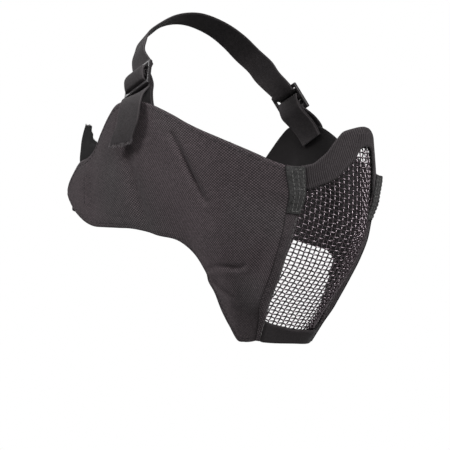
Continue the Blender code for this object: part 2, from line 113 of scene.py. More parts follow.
# Wires by height (metres): the row at the middle ridge, then how many rows lower that height is at 1/4,
# 1/2, 3/4 and all of the way out, then the columns counted out to there
WIRE_FIELD = (
    (-0.095, -38.9, (0.2, 0.7, 1.35, 2.15), (3.3, 6.15, 8.65, 11.1)),
    (-0.075, -29.6, (0.25, 0.87, 1.71, 2.68), (3.58, 6.65, 9.5, 12.3)),
    (-0.06, -22.7, (0.29, 1.06, 2.13, 3.33), (3.95, 7.45, 10.7, 13.75)),
    (-0.04, -14.4, (0.34, 1.21, 2.4, 3.76), (4.15, 8.05, 11.75, 15.05)),
    (-0.02, -6.85, (0.37, 1.25, 2.4, 3.71), (4.15, 8.05, 11.85, 15.45)),
    (0.0, 0.0, (0.35, 1.17, 2.16, 3.17), (4.08, 7.7, 11.2, 14.8)),
    (0.01, 3.19, (0.32, 1.08, 1.97, 2.75), (4.05, 7.45, 10.7, 14.2)),
    (0.025, 7.75, (0.24, 0.86, 1.62, 2.2), (3.95, 7.2, 10.2, 13.5)),
    (0.045, 13.6, (0.2, 0.75, 1.45, 2.0), (3.85, 7.0, 9.9, 13.0)),
)
# Edge tape and corner patch: top and bottom share up, shares across the strip
TAPE_SPAN = ((0.208, -0.985), (0.0, 1.0))
PATCH_SPAN = ((0.205, -0.110), (0.02, 0.98))

# Ribs of a wing: top and low end as shares out, fore and up, then the swell between them
WING_RIBS = (
    (0.541, 0.752, 0.213, 0.312, 0.338, -0.995, 0.000),
    (0.581, 0.672, 0.252, 0.336, 0.320, -1.000, 0.010),
    (0.634, 0.596, 0.302, 0.368, 0.296, -1.000, 0.014),
    (0.709, 0.492, 0.368, 0.410, 0.272, -0.986, 0.018),
    (0.779, 0.400, 0.426, 0.486, 0.276, -0.888, 0.022),
    (0.837, 0.305, 0.484, 0.600, 0.292, -0.755, 0.026),
    (0.884, 0.217, 0.543, 0.680, 0.288, -0.628, 0.030),
    (0.930, 0.127, 0.612, 0.744, 0.270, -0.511, 0.032),
    (0.977, 0.009, 0.687, 0.802, 0.214, -0.378, 0.034),
    (0.998, -0.086, 0.726, 0.849, 0.111, -0.282, 0.036),
    (1.000, -0.206, 0.745, 0.890, -0.034, -0.239, 0.034),
    (0.994, -0.309, 0.734, 0.919, -0.201, -0.184, 0.030),
    (0.985, -0.386, 0.665, 0.930, -0.359, -0.165, 0.024),
    (0.969, -0.472, 0.553, 0.930, -0.480, -0.152, 0.018),
    (0.945, -0.553, 0.441, 0.919, -0.581, -0.138, 0.012),
    (0.930, -0.635, 0.383, 0.914, -0.660, -0.106, 0.008),
    (0.910, -0.725, 0.365, 0.905, -0.733, -0.057, 0.006),
    (0.895, -0.793, 0.306, 0.892, -0.802, 0.005, 0.004),
    (0.884, -0.853, 0.229, 0.880, -0.858, 0.080, 0.002),
    (0.874, -0.883, 0.165, 0.873, -0.885, 0.133, 0.000),
)
FRONT_RIBS = 7  # over these the wing eases away from the strip beside the wire
# Front margin of a wing under the tape: share across the strip, depth
WING_TUCK = ((0.62, 0.0005), (0.72, 0.0004), (0.82, 0.0003), (0.90, 0.00022), (0.96, 0.00016))
# Creases of a wing: points as shares along and down, then depth, half width and the ridge beside it
CREASES = (
    (((0.380, 0.140), (0.345, 0.262), (0.310, 0.356), (0.276, 0.425)), 0.0030, 0.0018, 0.0004),
    (((0.352, 0.24), (0.308, 0.362), (0.262, 0.490)), 0.0010, 0.0050, 0.0),
    (((0.560, 0.36), (0.551, 0.70), (0.545, 1.00)), 0.0025, 0.0056, 0.0005),
    (((0.350, 0.95), (0.225, 0.705), (0.130, 0.600)), 0.0016, 0.0015, 0.0005),
    (((0.335, 0.97), (0.260, 0.885), (0.200, 0.82)), 0.0013, 0.0020, 0.0005),
    (((0.060, 0.36), (0.050, 0.50), (0.075, 0.64)), 0.0014, 0.0055, 0.0),
    (((0.790, 0.42), (0.765, 0.66), (0.700, 0.80)), 0.0010, 0.0075, 0.0),
    (((0.470, 0.28), (0.445, 0.55)), 0.0009, 0.0080, 0.0),
)

# Slider: its middle in shares, the direction of its top and the way its face looks
SLIDER_AT = (0.867, 0.217, 0.916)
SLIDER_UP = (-0.40, 0.33, 0.85)
SLIDER_FACE = (0.898, 0.134, 0.37)
# Head strap: out, back and up in shares, then the direction across it. The tail's first four rows lie up
# to 3 mm from the solid's.
TAIL = (
    (1.061, 0.205, 0.427, 0.1, 0.99, -0.11),
    (1.063, 0.183, 0.49, 0.1, 0.99, -0.09),
    (1.059, 0.15, 0.568, 0.06, 0.99, -0.05),
    (1.049, 0.14, 0.658, 0.03, 0.995, 0.06),
    (1.0291, 0.1415, 0.724, 0.0, 0.995, 0.02),
    (0.979, 0.1587, 0.776, 0.02, 0.99, -0.12),
)
# Head strap through the slider: up, out of its face and along it, in shares. Fuller than in the solid.
THREAD = (
    (-0.538, -0.885, -0.031), (-0.415, -1.05, 0), (-0.35, -0.85, 0), (-0.326, 0, 0),
    (-0.316, 0.8, 0), (-0.27, 1.33, 0), (-0.08, 1.88, 0), (0.1, 1.96, 0), (0.24, 1.35, 0),
    (0.292, 0, 0), (0.332, -0.85, 0), (0.415, -1.05, 0), (0.538, -1.038, 0),
)
OVER_HEAD = (
    (0.7393, 0.3262, 1.117, -0.25, 0.93, -0.28),
    (0.6842, 0.3561, 1.2021, -0.29, 0.91, -0.3),
    (0.5901, 0.4003, 1.2926, -0.27, 0.91, -0.3),
    (0.45, 0.412, 1.383, -0.2, 0.93, -0.28),
    (0.308, 0.4288, 1.4553, -0.1, 0.96, -0.25),
    (0.1512, 0.4417, 1.5, -0.04, 0.97, -0.24),
    (0.0, 0.446, 1.516, 0.0, 0.97, -0.24),
)
# Strap tab, as THREAD, then how far it leans out
TAB_LOOP = (
    (-1.587, -2.262, -0.13, 0.1), (-1.394, -1.744, -0.115, 0.1), (-1.154, -1.418, -0.092, 0.08),
    (-0.889, -1.369, -0.061, 0.05), (-0.625, -1.568, -0.023, 0.02), (-0.409, -1.808, 0, 0),
    (-0.25, -1.615, 0, 0), (-0.163, -1.0, 0, 0), (-0.135, -0.192, 0, 0), (-0.12, 0.462, 0, 0),
    (-0.058, 0.923, 0, 0), (0.048, 0.923, 0, 0), (0.115, 0.423, 0, 0), (0.12, -0.385, 0, 0),
    (0.048, -1.0, 0, 0), (-0.077, -1.654, 0, 0), (-0.24, -2.231, 0, 0), (-0.409, -2.423, 0, 0),
    (-0.625, -2.174, -0.023, 0.02), (-0.889, -1.985, -0.061, 0.05), (-1.154, -2.033, -0.092, 0.08),
    (-1.394, -2.359, -0.115, 0.1), (-1.587, -2.878, -0.13, 0.1),
)
# Nape strap and its upturned end, in shares
NAPE = (
    (0.9035, 0.566, 0.1383), (0.8895, 0.6346, 0.1383), (0.8686, 0.7376, 0.1362), (0.8512, 0.8105, 0.1319),
    (0.8244, 0.8662, 0.1277), (0.7442, 0.9245, 0.1213), (0.5814, 0.9605, 0.1128), (0.3953, 0.982, 0.1043),
    (0.1977, 0.9949, 0.0989), (0.0, 0.9991, 0.0957),
)
NAPE_TAIL = (
    (0.8581, 0.6775, 0.0638), (0.8581, 0.682, 0.1915), (0.8558, 0.69, 0.3085), (0.8547, 0.701, 0.3936),
    (0.8395, 0.707, 0.474), (0.8209, 0.709, 0.536), (0.807, 0.71, 0.59),
)
# Direction across that end, and across its last two rows
NAPE_ACROSS, NAPE_TURN = (-0.14, 0.90, 0.0), ((-0.10, 0.83, 0.42), (-0.10, 0.70, 0.68))
# Cuts of the webbing: share across and depth (metres), then raggedness and seed
NAPE_CUT = (
    (
        (-1, 0), (-0.57, 0.0014), (-0.27, 0.0016), (-0.22, -0.0008), (-0.10, -0.0009), (0.10, -0.0005),
        (0.15, -0.0042), (0.60, -0.0012), (1, 0.0018),
    ),
    0.0006, 5,
)
TAIL_CUT = (((-1, 0.0010), (-0.8, 0), (0.8, 0), (1, 0.0010)), 0.0014, 9)


# Form, as in the solids

def curve(xs, ys, at):
    """Smooth curve through the points that doesn't overshoot them."""
    step = np.diff(xs)
    slope = np.diff(ys) / step
    tangent = np.zeros_like(ys)
    tangent[0], tangent[-1] = slope[0], slope[-1]
    same = slope[:-1] * slope[1:] > 0
    low = 2 * step[1:] + step[:-1]
    high = step[1:] + 2 * step[:-1]
    inner = np.zeros(len(slope) - 1)
    inner[same] = (low + high)[same] / (low[same] / slope[:-1][same] + high[same] / slope[1:][same])
    tangent[1:-1] = inner
    at = np.clip(at, xs[0], xs[-1])
    k = np.clip(np.searchsorted(xs, at, side="right") - 1, 0, len(xs) - 2)
    t = (at - xs[k]) / step[k]
    return (
        (2 * t**3 - 3 * t**2 + 1) * ys[k] + (t**3 - 2 * t**2 + t) * step[k] * tangent[k]
        + (-2 * t**3 + 3 * t**2) * ys[k + 1] + (t**3 - t**2) * step[k] * tangent[k + 1]
    )


def smoothed(a, b, c, d, t):
    """Smooth value at share t from b to c, out of four values in a row."""
    return 0.5 * (2 * b + (c - a) * t + (2 * a - 5 * b + 4 * c - d) * t**2 + (3 * b - 3 * c + d - a) * t**3)


def rows_at(rows, at):
    """Smooth values between the rows of a table, at positions counted in rows."""
    padded = np.vstack([2 * rows[0] - rows[1], rows, 2 * rows[-1] - rows[-2]])
    at = np.asarray(at, float)
    k = np.clip(at.astype(int), 0, len(rows) - 2)
    return smoothed(*(padded[k + i] for i in range(4)), (at - k)[..., None])


def eased(share):
    """A share from 0 to 1 with a soft start and end."""
    share = np.clip(share, 0, 1)
    return share * share * (3 - 2 * share)


def bulge(distance, at, half):
    """A soft bulge of height 1 round one distance."""
    return np.exp(-(((distance - at) / half) ** 2))


def distance_along(line):
    """Distance of each point of a line from its start."""
    return np.concatenate([[0], np.cumsum(np.linalg.norm(np.diff(line, axis=0), axis=1))])


def rows_between(far, rows, at):
    """Straight values between rows that belong to the distances far."""
    return np.stack([np.interp(at, far, column) for column in rows.T], -1)


def unit(v):
    v = np.asarray(v, float)
    return v / np.maximum(np.linalg.norm(v, axis=-1, keepdims=True), 1e-12)


def outline(table, x):
    """Height of a border line of a band at x."""
    table = np.array(table)
    return curve(table[:, 0] * WING_OUT, table[:, 1] * CHIN_DROP, np.abs(x))


LEVELS = np.array(FRONT_LEVELS) * (CHIN_DROP, NOSE_OUT, WING_OUT, NOSE_OUT, WING_OUT, NOSE_OUT)
BOWS = np.array(BOW)


def level(z):
    """The front at a height: nose_fore, edge_out, edge_fore, ridge_out, ridge_fore."""
    return [curve(LEVELS[:, 0], column, z) for column in LEVELS.T[1:]]


def front(x, z):
    """Y of the wire front and of the flat strip beside it."""
    nose, edge, edge_fore, ridge, ridge_fore = level(z)
    share = np.abs(x) / edge
    bowed = edge_fore + (nose - edge_fore) * curve(BOWS[:, 0], BOWS[:, 1], share)
    beside = edge_fore + (ridge_fore - edge_fore) * (np.abs(x) - edge) / (ridge - edge)
    return -np.where(share <= 1, bowed, beside)


def on_front(x, z, off):
    """Points at a distance outward from the wire front, and the normals there."""
    x, z = np.broadcast_arrays(x, z)
    h = 0.0002
    dx = (front(x + h, z) - front(x - h, z)) / (2 * h)
    dz = (front(x, z + h) - front(x, z - h)) / (2 * h)
    normal = unit(np.stack([dx, -np.ones_like(dx), dz], -1))
    return np.stack([x, front(x, z), z], -1) + np.asarray(off)[..., None] * normal, normal


def wing_surface(along, down):
    """Points of a wing at shares along its ribs and down them, for the side where out is plus."""
    ribs = np.array(WING_RIBS)
    row = along * (len(ribs) - 1)
    at = rows_at(ribs, row)
    scale = np.array([WING_OUT, -NOSE_OUT, CHIN_DROP])
    top, low = at[..., 0:3] * scale, at[..., 3:6] * scale
    t = down[..., None]
    point = top * (1 - t) + low * t
    chord = ribs[0, 0:3] * scale * (1 - t) + ribs[0, 3:6] * scale * t
    _, _, _, ridge, ridge_fore = level(chord[..., 2])
    fade = np.clip(1 - row / FRONT_RIBS, 0, 1) ** 2
    point[..., 0] += fade * (ridge - chord[..., 0])
    point[..., 1] += fade * (-ridge_fore + GAP - chord[..., 1])
    point[..., 0] += at[..., 6] * WING_OUT * 4 * t[..., 0] * (1 - t[..., 0])
    return point


PLACE = np.array([WING_OUT, NOSE_OUT, CHIN_DROP])
SLIDER_SIZE = np.array([SLIDER_H, SLIDER_T, SLIDER_W])
FACE = unit(SLIDER_FACE)
UP = unit(np.asarray(SLIDER_UP) - FACE * np.dot(FACE, SLIDER_UP))
ALONG = np.cross(UP, FACE)


def in_slider(shares):
    """Points of the left slider, in shares of its sizes: up, out of its face and along it."""
    return SLIDER_AT * PLACE + shares * SLIDER_SIZE @ np.array([UP, FACE, ALONG])


# Meshes

def scene_object(name, data):
    obj = bpy.data.objects.new(name, data)
    bpy.context.scene.collection.objects.link(obj)
    return obj


def mesh_piece(name, points, faces, uv, material):
    mesh = bpy.data.meshes.new(name)
    mesh.from_pydata(points.tolist(), [], faces)
    mesh.update()
    layer = mesh.uv_layers.new(name="UVMap")
    index = np.empty(len(mesh.loops), np.int32)
    mesh.loops.foreach_get("vertex_index", index)
    layer.data.foreach_set("uv", np.asarray(uv, np.float32)[index].ravel())
    mesh.polygons.foreach_set("use_smooth", [True] * len(mesh.polygons))
    mesh.materials.append(material)
    return scene_object(name, mesh)


def soft_shell(name, mid, normal, half_out, half_in, uv, material):
    """A closed wall round a middle surface: outer faces, inner faces and a rim."""
    outer = (mid + half_out[..., None] * normal).reshape(-1, 3)
    inner = (mid - half_in[..., None] * normal).reshape(-1, 3)
    n = len(outer)
    index = np.arange(n).reshape(mid.shape[:2])
    a, b = index[:-1, :-1].ravel(), index[1:, :-1].ravel()
    quads = np.stack([a, b, b + 1, a + 1], 1)
    ring = np.concatenate([index[0], index[1:, -1], index[-1, -2::-1], index[-2:0:-1, 0]])
    after = np.roll(ring, -1)
    rim = np.stack([ring, after, after + n, ring + n], 1)
    faces = np.vstack([quads, quads[:, ::-1] + n, rim[:, ::-1]])
    # Faces turn outward for either handedness of the grid.
    middle = quads[len(quads) // 2]
    p = outer[middle]
    if np.dot(np.cross(p[1] - p[0], p[2] - p[1]), normal.reshape(-1, 3)[middle[0]]) < 0:
        faces = faces[:, ::-1]
    points, flat = np.vstack([outer, inner]), uv.reshape(-1, 2)
    return mesh_piece(name, points, faces.tolist(), np.vstack([flat, flat + (INSIDE, 0)]), material)


def edge_distance(mid):
    """Distances of a grid's points from its first and last row and first and last column."""
    du = np.linalg.norm(np.diff(mid, axis=0), axis=-1)
    dv = np.linalg.norm(np.diff(mid, axis=1), axis=-1)
    u = np.concatenate([np.zeros((1, mid.shape[1])), np.cumsum(du, 0)])
    v = np.concatenate([np.zeros((mid.shape[0], 1)), np.cumsum(dv, 1)], 1)
    return u, u[-1:] - u, v, v[:, -1:] - v


def rounded(distance, reach, floor=0.22):
    """Share of the full thickness at a distance from a border that is rounded over a reach."""
    t = np.clip(distance / reach, 0, 1)
    return np.maximum(np.sqrt(1 - (1 - t) ** 2), floor)


def finer_ends(count, fine=(0.0, 0.0012, 0.0035, 0.0075)):
    """Positions from 0 to 1 with a few close to each end."""
    fine = np.array(fine)
    inner = np.linspace(fine[-1], 1 - fine[-1], count)[1:-1]
    return np.concatenate([fine, inner, 1 - fine[::-1]])


def tubes(name, lines, normals, radius, sides, material):
    """One mesh of round wires with closed ends along lines, each an array of points."""
    points, faces, uvs, start = [], [], [], 0
    angle = np.arange(sides) * 2 * math.pi / sides
    cosine, sine = np.cos(angle)[None, :, None], np.sin(angle)[None, :, None]
    for line, normal in zip(lines, normals):
        count = len(line)
        tangent = unit(np.gradient(line, axis=0))
        side = unit(np.cross(tangent, normal))
        up = np.cross(side, tangent)
        r = np.broadcast_to(radius, (count,))[:, None, None]
        ring = line[:, None] + r * (cosine * side[:, None] + sine * up[:, None])
        points.append(ring.reshape(-1, 3))
        uv = np.stack(np.broadcast_arrays(angle[None, :] * 0.0005, distance_along(line)[:, None]), -1)
        uvs.append(uv.reshape(-1, 2))
        index = start + np.arange(count * sides).reshape(count, sides)
        after = np.roll(index, -1, axis=1)
        faces += np.stack([index[:-1], after[:-1], after[1:], index[1:]], -1).reshape(-1, 4).tolist()
        faces += [index[0, ::-1].tolist(), index[-1].tolist()]
        start += count * sides
    return mesh_piece(name, np.vstack(points), faces, np.vstack(uvs), material)


def sewn(name, tracks, radius, material):
    """One mesh of thread arcs along tracks: a line on a surface, its normals and its stitch."""
    lines, normals = [], []
    t = np.linspace(0, 1, 6)
    for line, normal, (length, space, lift) in tracks:
        far = distance_along(line)
        height = lift * (4 * t * (1 - t)) ** 0.5 - STITCH_SINK
        at = space
        while at + length < far[-1]:
            up = unit(rows_between(far, normal, at + t * length))
            lines.append(rows_between(far, line, at + t * length) + height[:, None] * up)
            normals.append(up)
            at += length + space
    return tubes(name, lines, normals, radius, 5, material)


# Materials

class Net:
    """The shader nodes of a material or world in the making."""

    def __init__(self, owner):
        self.owner = owner
        owner.use_nodes = True
        self.tree = owner.node_tree

    def put(self, value, socket):
        if isinstance(value, bpy.types.NodeSocket):
            self.tree.links.new(value, socket)
        else:
            socket.default_value = value

    def node(self, kind, inputs=None, **values):
        made = self.tree.nodes.new(kind)
        for key, value in values.items():
            setattr(made, key, value)
        for key, value in (inputs or {}).items():
            self.put(value, made.inputs[key])
        return made

    def math(self, op, a, b=0.0, c=0.0, clamp=False):
        return self.node("ShaderNodeMath", {0: a, 1: b, 2: c}, operation=op, use_clamp=clamp).outputs[0]

    def plus(self, a, b, clamp=False):
        return self.math("ADD", a, b, clamp=clamp)

    def times(self, a, b):
        return self.math("MULTIPLY", a, b)

    def scaled(self, value, factor, add):
        return self.math("MULTIPLY_ADD", value, factor, add)

    def varied(self, shade, value, amount):
        """A shade that a value from 0 to 1 makes darker or lighter by up to an amount."""
        return self.plus(shade, self.scaled(value, 2 * amount, -amount))

    def uv(self):
        made = self.node("ShaderNodeUVMap", uv_map="UVMap")
        split = self.node("ShaderNodeSeparateXYZ", {0: made.outputs[0]})
        return split.outputs[0], split.outputs[1]

    def noise(self, scale, detail, rough):
        at = self.node("ShaderNodeTexCoord").outputs["Object"]
        inputs = {"Vector": at, "Scale": scale, "Detail": detail, "Roughness": rough}
        return self.node("ShaderNodeTexNoise", inputs).outputs["Fac"]

    def cell_noise(self, x, y):
        join = self.node("ShaderNodeCombineXYZ", {0: x, 1: y})
        inputs = {"Vector": join.outputs[0]}
        return self.node("ShaderNodeTexWhiteNoise", inputs, noise_dimensions="2D").outputs["Value"]

    def remap(self, value, low, high, to_low, to_high):
        inputs = {"Value": value, "From Min": low, "From Max": high, "To Min": to_low, "To Max": to_high}
        return self.node("ShaderNodeMapRange", inputs, clamp=True).outputs["Result"]

    def tint(self, factor, dark, light):
        """A colour between two. Inputs 6 and 7 and output 2 of the node are its colour sockets."""
        a, b = (end if isinstance(end, bpy.types.NodeSocket) else (*end, 1) for end in (dark, light))
        return self.node("ShaderNodeMix", {"Factor": factor, 6: a, 7: b}, data_type="RGBA").outputs[2]

    def bump(self, height, strength, distance, below=None):
        inputs = {"Strength": strength, "Distance": distance, "Height": height}
        if below is not None:
            inputs["Normal"] = below
        return self.node("ShaderNodeBump", inputs).outputs["Normal"]

    def finish(self, colour, rough, normal=None, **values):
        shader = self.tree.nodes["Principled BSDF"]
        for value, key in ((colour, "Base Color"), (rough, "Roughness"), (normal, "Normal")):
            if value is not None:
                self.put(value, shader.inputs[key])
        for key, value in values.items():
            shader.inputs[key.replace("_", " ")].default_value = value
        return self.owner


def material_net(name):
    return Net(bpy.data.materials.new(name))


def weave(net, pitch):
    """Height of a plain weave, a value of its own for each yarn on top, and whether that is a warp yarn."""
    u, v = (net.times(way, 1 / pitch) for way in net.uv())
    column, row = net.math("FLOOR", u), net.math("FLOOR", v)
    over_u, over_v = (net.math("SINE", net.times(net.math("FRACT", way), math.pi)) for way in (u, v))
    odd = net.math("FLOORED_MODULO", net.plus(column, row), 2.0)
    warp = net.times(over_u, net.scaled(over_v, 0.55, 0.45))
    weft = net.times(over_v, net.scaled(over_u, 0.55, 0.45))
    height = net.plus(net.times(warp, odd), net.times(weft, net.math("SUBTRACT", 1.0, odd)))
    return height, net.cell_noise(column, row), odd


def cloth_material(name, dark, light, pitch, speck, checker, rib=0.0, cast=0.0):
    """A plain-weave cloth. Yarn tops are painted lighter and the hollows between them darker, and cells
    where warp lies on top are painted lighter than weft ones as a painted sheen. Its back is painted darker
    as painted shade of the mask's inside. It can have painted shade in the valleys of ribs across u and, in
    places, a greener cast.
    """
    net = material_net(name)
    height, cell, odd = weave(net, pitch)
    # Painted light and shade: yarn tops and warp-over cells are painted lighter, the weave's hollows and
    # weft-over cells darker.
    shade = net.varied(net.scaled(height, 0.50, 0.10), odd, checker / 2)
    shade = net.varied(shade, cell, speck)
    shade = net.varied(shade, net.noise(38.0, 3.0, 0.55), 0.07)
    shade = net.varied(shade, net.noise(900.0, 1.0, 0.6), 0.08)
    u, _ = net.uv()
    # Painted shade in the valleys of the ribs and painted light on their crests.
    if rib:
        crest = net.math("COSINE", net.times(u, 2 * math.pi / rib))
        shade = net.scaled(crest, 0.30, shade)
    # Painted shade: the back, inside the mask, is painted darker.
    back = net.math("GREATER_THAN", u, INSIDE / 2)
    shade = net.times(net.plus(shade, 0.0, clamp=True), net.scaled(back, -0.75, 1.0))
    face = net.tint(shade, dark, light)
    if cast:
        grey = [sum(light) / 3 * k for k in (0.95, 1.02, 0.99)]
        worn = net.tint(shade, [k * dark[1] / light[1] for k in grey], grey)
        face = net.tint(net.remap(net.noise(17.0, 1.0, 0.4), 0.45, 0.62, 0.0, cast), face, worn)
    colour = net.tint(back, face, [0.4 * k for k in dark])
    fuzz = net.bump(net.noise(2600.0, 2.0, 0.6), 0.25, 0.00008)
    return net.finish(
        colour, net.remap(height, 0, 1, 0.96, 0.82), net.bump(height, 0.6, 0.00016, fuzz),
        Sheen_Weight=0.08, Sheen_Roughness=0.45, Specular_IOR_Level=0.2,
    )


def webbing_material(name, dark, light, sheen):
    """Ribs that run along the webbing, crossed by a finer course, with painted shade between the ribs and
    knots and a painted highlight along both edges.
    """
    # Rib and course spacing, then how far from the edge the painted edge highlight starts and where it is
    # full.
    rib, course, edge_highlight_from, edge_highlight_full = 0.00105, 0.00085, 0.0011, 0.0006
    net = material_net(name)
    u, v = net.uv()
    ribs = net.times(u, 1 / rib)
    cross = net.times(v, 1 / course)
    crest = net.math("ABSOLUTE", net.math("SINE", net.times(ribs, math.pi)))
    rib_number = net.math("FLOOR", ribs)
    cross = net.plus(cross, net.times(net.math("FLOORED_MODULO", rib_number, 2.0), 0.5))
    knot = net.math("ABSOLUTE", net.math("SINE", net.times(cross, math.pi)))
    height = net.times(crest, net.scaled(knot, 0.5, 0.5))
    cell = net.cell_noise(rib_number, net.math("FLOOR", cross))
    # Painted light and shade: rib crests and knots lighter, the hollows between them darker.
    shade = net.scaled(height, 0.50, net.scaled(cell, 0.25, -0.02))
    shade = net.varied(shade, net.noise(60.0, 3.0, 0.5), 0.2)
    across = net.math("SUBTRACT", u, net.times(net.math("GREATER_THAN", u, INSIDE / 2), INSIDE))
    half = WEB_W / 2
    # Painted highlight along both edges of the webbing.
    edge_highlight = net.remap(net.math("ABSOLUTE", across), half - edge_highlight_from, half - edge_highlight_full, 0, 0.45)
    shade = net.plus(shade, edge_highlight, clamp=True)
    fuzz = net.bump(net.noise(2400.0, 2.0, 0.6), 0.25, 0.00008)
    bumped = net.bump(height, 0.6, 0.0002, fuzz)
    return net.finish(
        net.tint(shade, dark, light), net.remap(height, 0, 1, 0.94, 0.80), bumped,
        Sheen_Weight=sheen, Sheen_Roughness=0.45, Specular_IOR_Level=0.25,
    )


def wire_material():
    net = material_net("black_coated_wire")
    patch = net.noise(900.0, 3.0, 0.6)
    colour = net.tint(patch, (0.005, 0.0032, 0.004), (0.019, 0.012, 0.015))
    bumped = net.bump(net.noise(1500.0, 2.0, 0.5), 0.2, 0.00003)
    return net.finish(
        colour, net.remap(patch, 0.3, 0.7, 0.18, 0.28), bumped,
        IOR=2.0, Specular_IOR_Level=0.9, Specular_Tint=(1.0, 0.86, 0.93, 1.0),
    )


def plastic_material():
    net = material_net("black_moulded_plastic")
    grain = net.noise(900.0, 4.0, 0.6)
    scuff = net.noise(180.0, 5.0, 0.7)
    colour = net.tint(scuff, (0.020, 0.018, 0.019), (0.040, 0.036, 0.038))
    bumped = net.bump(grain, 0.3, 0.00006)
    return net.finish(colour, net.remap(scuff, 0.3, 0.75, 0.26, 0.40), bumped, Specular_IOR_Level=0.5)


def thread_material(name, dark, light):
    net = material_net(name)
    u, v = net.uv()
    twist = net.math("SINE", net.scaled(v, 9000.0, net.times(u, 9000.0)))
    shade = net.scaled(twist, 0.5, 0.5)
    bumped = net.bump(shade, 0.5, 0.00006)
    return net.finish(net.tint(shade, dark, light), 0.75, bumped, Specular_IOR_Level=0.3)


def floor_material():
    net = material_net("pale_floor")
    soft = net.noise(3.0, 2.0, 0.5)
    return net.finish(net.tint(soft, (0.56, 0.56, 0.56), (0.60, 0.60, 0.60)), 0.9, Specular_IOR_Level=0.1)


WING_CLOTH = cloth_material(
    "wing_weave", (0.018, 0.0142, 0.0157), (0.122, 0.0975, 0.106),
    pitch=0.00090, speck=0.15, checker=0.72, cast=0.3,
)
BAND_CLOTH = cloth_material(
    "band_weave", (0.017, 0.0145, 0.0155), (0.085, 0.0735, 0.078),
    pitch=0.0007, speck=0.12, checker=0.1, rib=BAND_RIB,
)
CHIN_CLOTH = cloth_material(
    "chin_weave", (0.018, 0.016, 0.0168), (0.07, 0.062, 0.065), pitch=0.0006, speck=0.10, checker=0.1,
)
TAPE = cloth_material(
    "tape_weave", (0.021, 0.0175, 0.019), (0.116, 0.097, 0.104), pitch=0.0009, speck=0.20, checker=0.55,
)
TAB_CLOTH = cloth_material(
    "tab_weave", (0.02, 0.0198, 0.0196), (0.085, 0.0835, 0.083), pitch=0.0008, speck=0.30, checker=0.2,
)
WEBBING = webbing_material("elastic_webbing", (0.0155, 0.0134, 0.0142), (0.065, 0.057, 0.06), sheen=0.08)
# A much darker copy of the webbing for the nape strap and its end: painted shade.
SHADED_NAPE_WEBBING = webbing_material("nape_webbing", (0.003, 0.0028, 0.003), (0.012, 0.0113, 0.0118), sheen=0.02)
DARK_THREAD = thread_material("dark_thread", (0.014, 0.013, 0.014), (0.055, 0.051, 0.053))
GREY_THREAD = thread_material("grey_thread", (0.075, 0.074, 0.072), (0.23, 0.226, 0.22))
PALE_YARN = thread_material("pale_yarn", (0.06, 0.055, 0.057), (0.24, 0.22, 0.228))
WIRE = wire_material()
PLASTIC = plastic_material()


def place(piece, slot, *nodes):
    """Puts a piece on the one body and in place of its solids. Its slot is not used."""
    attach(piece, "root")
    if nodes:
        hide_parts(*nodes)


# Wire front

WIRE_LEVELS, MIDDLE_ROWS, ROW_DROPS, COLUMN_COUNTS = (np.array(part) for part in zip(*WIRE_FIELD))


def by_quarter(share, table, sign):
    """Smooth value at a share of the way out, from those at its quarters. Sign mirrors them."""
    beyond = 2 * table[3] - table[2], 3 * table[3] - 2 * table[2]
    ends = np.stack([sign * table[0], 0 * table[0], *table, *beyond], -1)
    q = np.minimum(np.abs(share) * 4, 5 - 1e-6)
    k = q.astype(int)
    four = (np.take_along_axis(ends, (k + i)[..., None], -1)[..., 0] for i in range(4))
    return smoothed(*four, q - k) * np.where(share < 0, sign, 1)


def wire_rows(share, z):
    drops = [curve(WIRE_LEVELS, drop, z) for drop in ROW_DROPS.T]
    return curve(WIRE_LEVELS, MIDDLE_ROWS, z) - by_quarter(share, drops, 1)


def wire_columns(share, z):
    return by_quarter(share, [curve(WIRE_LEVELS, count, z) for count in COLUMN_COUNTS.T], -1)


def wire_stretches(share, z, off):
    """The stretches of one wire on the front, each as points and normals."""
    x = share * level(z)[1]
    under_top = z < outline(WIRE_TOP, x) + WIRE_PAST
    over_low = z > outline(WIRE_LOW, x) - WIRE_PAST
    keep = under_top & over_low & (np.abs(share) < WIRE_OUT)
    points, normal = on_front(x, z, off)
    stretches = np.split(np.arange(len(z)), np.flatnonzero(np.diff(keep.astype(int))) + 1)
    return [(points[part], normal[part]) for part in stretches if keep[part[0]] and len(part) > 3]


def wire_front():
    """Crossing wires, woven over and under each other."""
    middle, swing = -WIRE_SHELL / 2, WIRE_D / 2
    zs, shares = np.linspace(*WIRE_UP, 300), np.linspace(-WIRE_LAID, WIRE_LAID, 361)
    share, z = np.meshgrid(shares, zs, indexing="ij")
    stretches = []
    for rising, field, along, other in (
        (False, wire_rows(share, z), shares, zs),
        (True, wire_columns(share, z).T, zs, shares),
    ):
        for n in range(int(field.min()), int(field.max()) + 1):
            at = np.array([np.interp(n, line, other, left=np.nan, right=np.nan) for line in field])
            here = ~np.isnan(at)
            if here.sum() < 4:
                continue
            run, at = along[here], at[here]
            count = wire_rows(at, run) if rising else wire_columns(run, at)
            steps = np.arange(math.ceil(count.min() * WIRE_STEPS), math.floor(count.max() * WIRE_STEPS) + 1)
            steps = steps / WIRE_STEPS
            near = np.interp(steps, count, run)
            far = np.interp(near, run, at)
            wave = swing * np.cos(math.pi * (n + steps))
            wire = (far, near, middle + wave) if rising else (near, far, middle - wave)
            stretches += wire_stretches(*wire)
    place(tubes("wire_weave", *zip(*stretches), WIRE_D / 2, 7, WIRE), "wire", "mesh_panel")


# Cloth on the front

